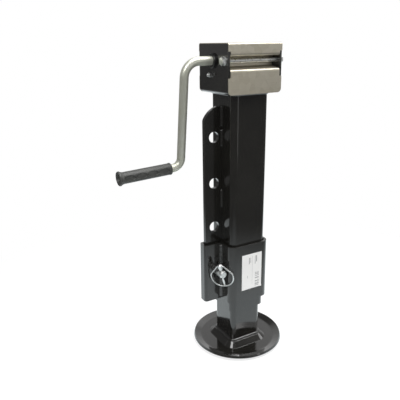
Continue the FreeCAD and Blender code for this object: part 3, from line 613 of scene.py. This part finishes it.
def turned_steel():
    # Mild steel turned in a lathe and greased: mid grey with rings about the upright axis, drawn coarser
    # than the tool's feed so that they show. The wave texture multiplies its scale by 20.
    made, tree, shader, where = blank("turned_mild_steel")
    rings = add(tree, "ShaderNodeTexWave", {"wave_type": "RINGS", "rings_direction": "Z"},
                {"Vector": where, "Scale": per(1.6) / 20, "Distortion": 0.4, "Detail": 1.0})
    grease = add(tree, "ShaderNodeTexNoise", inputs={"Vector": where, "Scale": per(14), "Detail": 3.0})
    tint = add(tree, "ShaderNodeMix", {"data_type": "RGBA"},
               {0: grease.outputs["Fac"], 6: linear("#8a8781"), 7: linear("#a9abad")})
    tree.links.new(tint.outputs[2], shader.inputs["Base Color"])
    gloss = add(tree, "ShaderNodeMapRange",
                inputs={"Value": grease.outputs["Fac"], "To Min": 0.18, "To Max": 0.42})
    tree.links.new(gloss.outputs[0], shader.inputs["Roughness"])
    bump = add(tree, "ShaderNodeBump", inputs={"Height": rings.outputs["Fac"], "Strength": 0.2,
                                               "Distance": 0.03 * mm})
    tree.links.new(bump.outputs["Normal"], shader.inputs["Normal"])
    shader.inputs["Metallic"].default_value = 1.0
    return made


def label_paper(centre):
    # Coated label paper: white, barely rough, with a grey block of plain bars and a few ruled strokes.
    made, tree, shader, where = blank("coated_label_paper")
    fibres = add(tree, "ShaderNodeTexNoise", inputs={"Vector": where, "Scale": per(0.7), "Detail": 3.0})
    split = add(tree, "ShaderNodeSeparateXYZ", inputs={"Vector": where})

    def within(axis, low, high):
        """1 where the coordinate lies between two places, in millimetres from the label's centre."""
        middle = centre[axis] + (low + high) / 2 * mm
        return add(tree, "ShaderNodeMath", {"operation": "COMPARE"},
                   {0: split.outputs[axis], 1: middle, 2: (high - low) / 2 * mm}).outputs[0]

    def both(first, second):
        return add(tree, "ShaderNodeMath", {"operation": "MULTIPLY"}, {0: first, 1: second}).outputs[0]

    def either(first, second):
        return add(tree, "ShaderNodeMath", {"operation": "MAXIMUM"}, {0: first, 1: second}).outputs[0]

    rows = add(tree, "ShaderNodeMapping", inputs={"Vector": where, "Scale": (0.0, 0.0, 1.0)})
    bars = add(tree, "ShaderNodeTexNoise",
               inputs={"Vector": rows.outputs[0], "Scale": per(1.7), "Detail": 1.0})
    dark_bar = add(tree, "ShaderNodeMath", {"operation": "GREATER_THAN"}, {0: bars.outputs["Fac"], 1: 0.52})
    left, right, bottom, top = label_bars
    ink = both(dark_bar.outputs[0], both(within(0, left, right), within(2, bottom, top)))
    for left, right, bottom, top in label_strokes:
        ink = either(ink, both(within(0, left, right), within(2, bottom, top)))
    paper = add(tree, "ShaderNodeMix", {"data_type": "RGBA"},
                {0: fibres.outputs["Fac"], 6: linear("#f2f2f0"), 7: linear("#fafaf8")})
    printed = add(tree, "ShaderNodeMix", {"data_type": "RGBA"},
                  {0: ink, 6: paper.outputs[2], 7: linear("#6d6e70")})
    tree.links.new(printed.outputs[2], shader.inputs["Base Color"])
    gloss = add(tree, "ShaderNodeMapRange",
                inputs={"Value": fibres.outputs["Fac"], "To Min": 0.4, "To Max": 0.6})
    tree.links.new(gloss.outputs[0], shader.inputs["Roughness"])
    bump = add(tree, "ShaderNodeBump", inputs={"Height": fibres.outputs["Fac"], "Strength": 0.1,
                                               "Distance": 0.03 * mm})
    tree.links.new(bump.outputs["Normal"], shader.inputs["Normal"])
    return made


materials = {
    "black_paint": black_enamel(),
    "galvanised_sheet": galvanised_steel(),
    "zinc_rod": zinc_rod(),
    "grip_vinyl": soft_vinyl(),
    "bush_plastic": nylon(),
    # Clear passivated electroplated zinc on drawn steel: almost white, glossy, faintly blue.
    "bright_zinc": plated_metal("bright_zinc_plate", "#dfe1e0", "#f4f5f3", 0.24, 0.38, 0.8, 5),
    "machined_steel": turned_steel(),
    # Hardened and ground bearing steel: mirror-like with a faint haze.
    "bearing_steel": plated_metal("ground_bearing_steel", "#a9acb0", "#bfc2c6", 0.08, 0.16, 0.5, 8, 0.01),
    # Cast and machined tin bronze: brown gold, oily.
    "bronze": plated_metal("machined_tin_bronze", "#a67c46", "#c39a5f", 0.24, 0.4, 0.9, 7),
}

# Every node is painted, and those that no new piece replaces are seen as they are
for node, solid in frame["nodes"].items():
    solid.data.materials.clear()
    solid.data.materials.append(materials[slot_of[node]])


# New pieces

def plates_and_tubes():
    """The cut, bent and drawn pieces, with their edges rounded."""
    for node, width in rounded_nodes:
        body = "inner_leg" if node in leg_nodes else "stand"
        hand_over(softened(node, width), node + "_finished", body, slot_of[node], flat_piece_smooth,
                  [node], flat_faces=True)


def welds():
    outer_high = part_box("outer_tube")[1]
    half_outer, outer_top = outer_high.x, outer_high.z
    half_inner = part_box("inner_tube")[1].x
    boss_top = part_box("inner_tube")[0].z
    path = square_round_path(half_outer, outer_tube_corner, outer_top, ripple_pitch)
    bead = weld_bead([(path, Z)], housing_bead)
    hand_over(bead, "housing_weld_bead", "stand", "black_paint", round_piece_smooth, ["housing_weld"])
    path = square_round_path(half_inner, inner_tube_corner, boss_top, ripple_pitch)
    bead = weld_bead([(path, -Z)], foot_bead)
    hand_over(bead, "foot_weld_bead", "inner_leg", "black_paint", round_piece_smooth, ["foot_weld"])
    runs = upright_runs(-half_outer, "perforated_plate", solid_spans("plate_welds"))
    bead = weld_bead(runs, stitch_bead)
    hand_over(bead, "plate_weld_beads", "stand", "black_paint", round_piece_smooth, ["plate_welds"])
    runs = upright_runs(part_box("mounting_sleeve")[0].x, "sleeve_channel", solid_spans("sleeve_welds"))
    bead = weld_bead(runs, sleeve_bead)
    hand_over(bead, "sleeve_weld_beads", "stand", "black_paint", round_piece_smooth, ["sleeve_welds"])


def solid_spans(node):
    """The heights between which a node's separate solids stand, each once."""
    obj = frame["nodes"][node]
    heights = sorted({round(vertex.co.z, 5) for vertex in obj.data.vertices})
    return list(zip(heights[::2], heights[1::2]))


def upright_runs(side, node, spans):
    """Runs up both corners where a plate stands on a face that looks along -X."""
    low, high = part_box(node)
    runs = []
    for z_low, z_high in spans:
        for y, into in ((low.y, Y), (high.y, -Y)):
            path = straight_path(Vector((side, y, z_low)), Vector((side, y, z_high)), -X, ripple_pitch)
            runs.append((path, into))
    return runs


def split_pin():
    low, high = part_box("shaft_split_pin")
    run, leg = (split_length, 0), (split_end, 0)
    bend = (split_bend_radius, split_bend_angle)
    turn = math.degrees(math.acos(split_wire_radius / split_eye_radius))
    kink, eye = (split_wire_radius, -turn), (split_eye_radius, 180 + 2 * turn)
    obj = bent_wire(split_wire_radius, [leg, bend, run, kink, eye, kink, run, bend, leg])
    low_corner, high_corner = extent(obj)
    to_middle = Matrix.Translation(-(low_corner + high_corner) / 2)
    stand_up = Matrix.Rotation(math.pi / 2, 4, "Y")
    obj.matrix_world = Matrix.Translation((low + high) / 2) @ stand_up @ to_middle
    settle(obj)
    hand_over(obj, "split_pin", "crank", "bright_zinc", round_piece_smooth, ["shaft_split_pin"])


def extent(obj):
    """The lowest and highest corners of a piece."""
    corners = [Vector(corner) for corner in obj.bound_box]
    low = Vector([min(corner[k] for corner in corners) for k in range(3)])
    high = Vector([max(corner[k] for corner in corners) for k in range(3)])
    return low, high


def bolt_threads():
    """The threads that stand out past the nuts."""
    for bolt, nut, way, diameter, pitch, inside in bolt_ends:
        end = 1 if way > 0 else 0
        low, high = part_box(bolt)
        middle = (low + high) / 2
        nut_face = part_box(nut)[end].x
        stub = abs((low, high)[end].x - nut_face)
        start = Vector((nut_face - way * inside, middle.y, middle.z))
        obj = thread(diameter, pitch, stub - inside, start, X * way)
        hand_over(obj, bolt + "_thread", "stand", "bright_zinc", round_piece_smooth)


def sticker():
    """A paper label on the sleeve's front face, one corner a little lifted."""
    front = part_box("mounting_sleeve")[0].y
    centre = Vector((label_right - label_width / 2, front - label_thick / 2, label_bottom + label_height / 2))
    deselect()
    bpy.ops.mesh.primitive_grid_add(x_subdivisions=24, y_subdivisions=38, size=1)
    obj = bpy.context.object
    edit(obj)
    bpy.ops.transform.resize(value=(label_width, label_height, 1))
    deselect()
    stand_on(obj, centre, -Y)
    corner = Vector((centre.x + label_width / 2, centre.y, centre.z - label_height / 2))
    for reach, lift in label_lifts:
        edit(obj)
        bpy.ops.mesh.select_all(action="DESELECT")
        bpy.ops.object.mode_set(mode="OBJECT")
        for vertex in obj.data.vertices:
            away = abs(vertex.co.x - corner.x) + abs(vertex.co.z - corner.z)
            vertex.select = away < reach
        bpy.ops.object.mode_set(mode="EDIT")
        bpy.ops.transform.translate(value=(0, -lift, 0))
        deselect()
    apply_modifier(obj, "SOLIDIFY", thickness=label_thick, offset=0)
    materials["label_paper"] = label_paper(centre)
    settle(obj)
    obj.name = obj.data.name = "sleeve_label"
    obj.data.materials.clear()
    obj.data.materials.append(materials["label_paper"])
    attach(obj, "stand")


def crank_places():
    """The lower bend's corner and the grip's direction."""
    lean, droop = math.radians(crank_lean), math.radians(crank_droop)
    low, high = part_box("crank_bush_left")
    shaft_height = (low.z + high.z) / 2
    down = Vector((0, math.sin(lean), -math.cos(lean)))
    lower = Vector((-crank_reach, 0, shaft_height)) + down * crank_throw
    along = (-X * math.cos(droop) + down * math.sin(droop)).normalized()
    return lower, along


def lens_cutter(place, angle):
    """An oval block whose inner end is the flat floor of one sunk panel."""
    deselect()
    floor_height = grip_radius - grip_panel_depth
    bpy.ops.mesh.primitive_circle_add(vertices=32, radius=1, fill_type="NGON", location=(0, 0, floor_height))
    obj = bpy.context.object
    half_length, half_width = grip_panel_length / 2, grip_panel_width / 2
    settle(obj)
    edit(obj)
    bpy.ops.transform.resize(value=(half_length, half_width, 1))
    bpy.ops.mesh.extrude_region_move(TRANSFORM_OT_translate={"value": (0, 0, grip_radius)})
    bpy.ops.mesh.normals_make_consistent(inside=False)
    deselect()
    lie = Matrix.Rotation(angle, 4, "Z") @ Matrix.Rotation(math.pi / 2, 4, "Y")
    obj.matrix_world = Matrix.Translation((0, 0, place)) @ lie
    settle(obj)
    return obj


def grip():
    """The pushed-on vinyl grip: a ring at its inner end, a flared hollow outer end and sunk oval panels."""
    flange = grip_length - grip_flange_length
    profile = [(grip_bore, 0), (grip_ring_radius - grip_ring_round, 0), (grip_ring_radius, grip_ring_round),
               (grip_ring_radius, grip_ring_length), (grip_radius, grip_ring_length + grip_ring_slope),
               (grip_radius, flange - grip_flare_length), (grip_flange_radius - grip_flange_step, flange),
               (grip_flange_radius, flange + grip_flange_slope),
               (grip_flange_radius, grip_length - grip_flange_round),
               (grip_flange_radius - grip_flange_round, grip_length),
               (grip_flange_radius - grip_lip, grip_length), (grip_bore, grip_length - grip_hollow),
               (grip_bore, 0)]
    obj = raised_rings(profile, segments=96)
    close_up(obj)
    cutters = []
    lower, along = crank_places()
    front = along.to_track_quat("Z", "Y").to_matrix().transposed() @ -Y
    facing = math.atan2(front.y, front.x)
    for k in range(grip_panel_count):
        for side in (0, math.pi):
            cutters.append(lens_cutter(grip_panel_first + k * grip_panel_pitch, facing + side))
    cutter = joined(cutters)
    apply_modifier(obj, "BOOLEAN", object=cutter, operation="DIFFERENCE", solver="EXACT", use_self=True)
    bpy.data.objects.remove(cutter)
    apply_modifier(obj, "REMESH", mode="VOXEL", voxel_size=grip_voxel)
    apply_modifier(obj, "SMOOTH", factor=0.5, iterations=1)
    stand_on(obj, lower + along * grip_start, along)
    hand_over(obj, "grip_sleeve", "crank", "grip_vinyl", round_piece_smooth, ["crank_grip"])


plates_and_tubes()
chance = random.Random(7)
welds()
sticker()
grip()
split_pin()
bolt_threads()


# Floor, lamps, world and camera

def floor():
    deselect()
    bpy.ops.mesh.primitive_circle_add(vertices=96, radius=floor_radius, fill_type="NGON")
    obj = bpy.context.object
    obj.name = "floor"
    made = bpy.data.materials.new("pale_studio_floor")
    made.use_nodes = True
    tree = made.node_tree
    tree.nodes.clear()
    where = add(tree, "ShaderNodeTexCoord").outputs["Object"]
    distance = add(tree, "ShaderNodeVectorMath", {"operation": "LENGTH"}, {0: where}).outputs["Value"]
    # A roll of white paper lies under and behind the stand, on a darker floor that only reflections show
    roll = add(tree, "ShaderNodeMapping", {"vector_type": "TEXTURE"},
               {"Vector": where, "Location": paper_middle, "Rotation": (0, 0, math.radians(camera_heading)),
                "Scale": (paper_half_width, paper_half_length, 1)})
    off_middle = add(tree, "ShaderNodeVectorMath", {"operation": "LENGTH"}, {0: roll.outputs[0]})
    fade = add(tree, "ShaderNodeMapRange", {"interpolation_type": "SMOOTHSTEP"},
               {"Value": off_middle.outputs["Value"],
                "From Min": paper_fade_start, "From Max": paper_fade_end})
    shade = add(tree, "ShaderNodeMix", {"data_type": "RGBA"},
                {0: fade.outputs[0], 6: linear("#e8e9ea"), 7: linear("#141414")})
    sheet = add(tree, "ShaderNodeBsdfDiffuse", inputs={"Color": shade.outputs[2]})
    # Painted reflection: glossy rays see the paper as an emission, a bluish white glow that fades to a dim
    # grey glow further out, in place of lit paper
    painted_reflection_glow_colour = add(tree, "ShaderNodeMix", {"data_type": "RGBA"},
                   {0: fade.outputs[0], 6: linear("#f0f8fa"), 7: linear("#5c5c5c")})
    paper = add(tree, "ShaderNodeEmission", inputs={"Color": painted_reflection_glow_colour.outputs[2], "Strength": 1.0})
    seen_sheet = add(tree, "ShaderNodeBsdfDiffuse", inputs={"Color": linear("#a8a8a8")})
    glow = add(tree, "ShaderNodeEmission", inputs={"Color": (1, 1, 1, 1), "Strength": floor_glow})
    near = add(tree, "ShaderNodeAddShader", inputs={0: seen_sheet.outputs[0], 1: glow.outputs[0]})
    white = add(tree, "ShaderNodeEmission", inputs={"Color": (1, 1, 1, 1), "Strength": 1.0})
    edge = add(tree, "ShaderNodeMapRange", {"interpolation_type": "SMOOTHSTEP"},
               {"Value": distance, "From Min": shadow_reach, "From Max": white_reach})
    seen = add(tree, "ShaderNodeMixShader",
               inputs={0: edge.outputs[0], 1: near.outputs[0], 2: white.outputs[0]})
    path = add(tree, "ShaderNodeLightPath")
    reflected = add(tree, "ShaderNodeMixShader",
                    inputs={0: path.outputs["Is Glossy Ray"], 1: sheet.outputs[0], 2: paper.outputs[0]})
    both = add(tree, "ShaderNodeMixShader",
               inputs={0: path.outputs["Is Camera Ray"], 1: reflected.outputs[0], 2: seen.outputs[0]})
    add(tree, "ShaderNodeOutputMaterial", inputs={"Surface": both.outputs[0]})
    obj.data.materials.append(made)
    # The floor stays under the foot when the leg is wound out, as if the trailer were lifted
    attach(obj, "inner_leg")


def world():
    made = bpy.data.worlds.new("pale_studio")
    bpy.context.scene.world = made
    made.use_nodes = True
    tree = made.node_tree
    tree.nodes.clear()
    path = add(tree, "ShaderNodeLightPath")
    fill = add(tree, "ShaderNodeBackground", inputs={"Color": (1, 1, 1, 1), "Strength": fill_strength})
    white = add(tree, "ShaderNodeBackground", inputs={"Color": (1, 1, 1, 1), "Strength": 1.0})
    # Reflections see the hung paper behind the stand, a bright part of the ceiling, a pale screen at
    # the front right and grey walls
    where = add(tree, "ShaderNodeTexCoord").outputs["Generated"]
    behind = add(tree, "ShaderNodeVectorMath", {"operation": "DOT_PRODUCT"},
                 {0: where, 1: paper_direction}).outputs["Value"]
    hung = add(tree, "ShaderNodeMapRange", {"interpolation_type": "SMOOTHSTEP"},
               {"Value": behind, "From Min": 0.6, "From Max": 0.8})
    height = add(tree, "ShaderNodeSeparateXYZ", inputs={"Vector": where}).outputs[2]
    dimming = add(tree, "ShaderNodeMapRange", {"interpolation_type": "SMOOTHSTEP"},
                  {"Value": height, "From Min": 0.1, "From Max": 0.6,
                   "To Min": hung_paper_low, "To Max": hung_paper_high})
    paper = add(tree, "ShaderNodeMath", {"operation": "MULTIPLY"},
                {0: hung.outputs[0], 1: dimming.outputs[0]})
    beside = add(tree, "ShaderNodeVectorMath", {"operation": "DOT_PRODUCT"},
                 {0: where, 1: screen_direction}).outputs["Value"]
    screen = add(tree, "ShaderNodeMapRange", {"interpolation_type": "SMOOTHSTEP"},
                 {"Value": beside, "From Min": 0.3, "From Max": 0.9,
                  "To Min": wall_strength, "To Max": screen_strength})
    walls = add(tree, "ShaderNodeMapRange", {"interpolation_type": "SMOOTHSTEP"},
                {"Value": height, "From Min": 0.1, "From Max": 0.45,
                 "To Min": screen.outputs[0], "To Max": high_wall_strength})
    above = add(tree, "ShaderNodeVectorMath", {"operation": "DOT_PRODUCT"},
                {0: where, 1: ceiling_direction}).outputs["Value"]
    ceiling = add(tree, "ShaderNodeMapRange", {"interpolation_type": "SMOOTHSTEP"},
                  {"Value": above, "From Min": 0.72, "From Max": 0.95, "To Max": ceiling_strength})
    bright = walls
    for part in (paper, ceiling):
        bright = add(tree, "ShaderNodeMath", {"operation": "MAXIMUM"},
                     {0: bright.outputs[0], 1: part.outputs[0]})
    studio = add(tree, "ShaderNodeBackground",
                 inputs={"Color": (1, 1, 1, 1), "Strength": bright.outputs[0]})
    shown = add(tree, "ShaderNodeMixShader",
                inputs={0: path.outputs["Is Glossy Ray"], 1: fill.outputs[0], 2: studio.outputs[0]})
    straight = add(tree, "ShaderNodeMath", {"operation": "MAXIMUM"},
                   {0: path.outputs["Is Camera Ray"], 1: path.outputs["Is Transmission Ray"]})
    both = add(tree, "ShaderNodeMixShader",
               inputs={0: straight.outputs[0], 1: shown.outputs[0], 2: white.outputs[0]})
    add(tree, "ShaderNodeOutputWorld", inputs={"Surface": both.outputs[0]})


def softbox(name, place, target, width, height, watts):
    lamp = bpy.data.lights.new(name, "AREA")
    lamp.shape = "RECTANGLE"
    lamp.size = width
    lamp.size_y = height
    lamp.energy = watts
    obj = bpy.data.objects.new(name, lamp)
    bpy.context.scene.collection.objects.link(obj)
    obj.location = place
    obj.rotation_euler = (Vector(target) - Vector(place)).to_track_quat("-Z", "Y").to_euler()


def camera():
    seen = bpy.data.cameras.new("camera")
    seen.sensor_width = sensor_width_mm
    seen.lens = camera_focal_px / photo_side_px * sensor_width_mm
    obj = bpy.data.objects.new("camera", seen)
    bpy.context.scene.collection.objects.link(obj)
    heading = Matrix.Rotation(math.radians(camera_heading), 3, "Z")
    tilt = Matrix.Rotation(math.radians(90 - camera_down), 3, "X")
    roll = Matrix.Rotation(math.radians(camera_roll), 3, "Z")
    obj.location = camera_place
    obj.rotation_euler = (heading @ tilt @ roll).to_euler()
    bpy.context.scene.camera = obj


floor()
world()
for lamp in studio_lamps:
    softbox(*lamp)
camera()
bpy.context.scene.view_settings.view_transform = "Standard"

deselect()
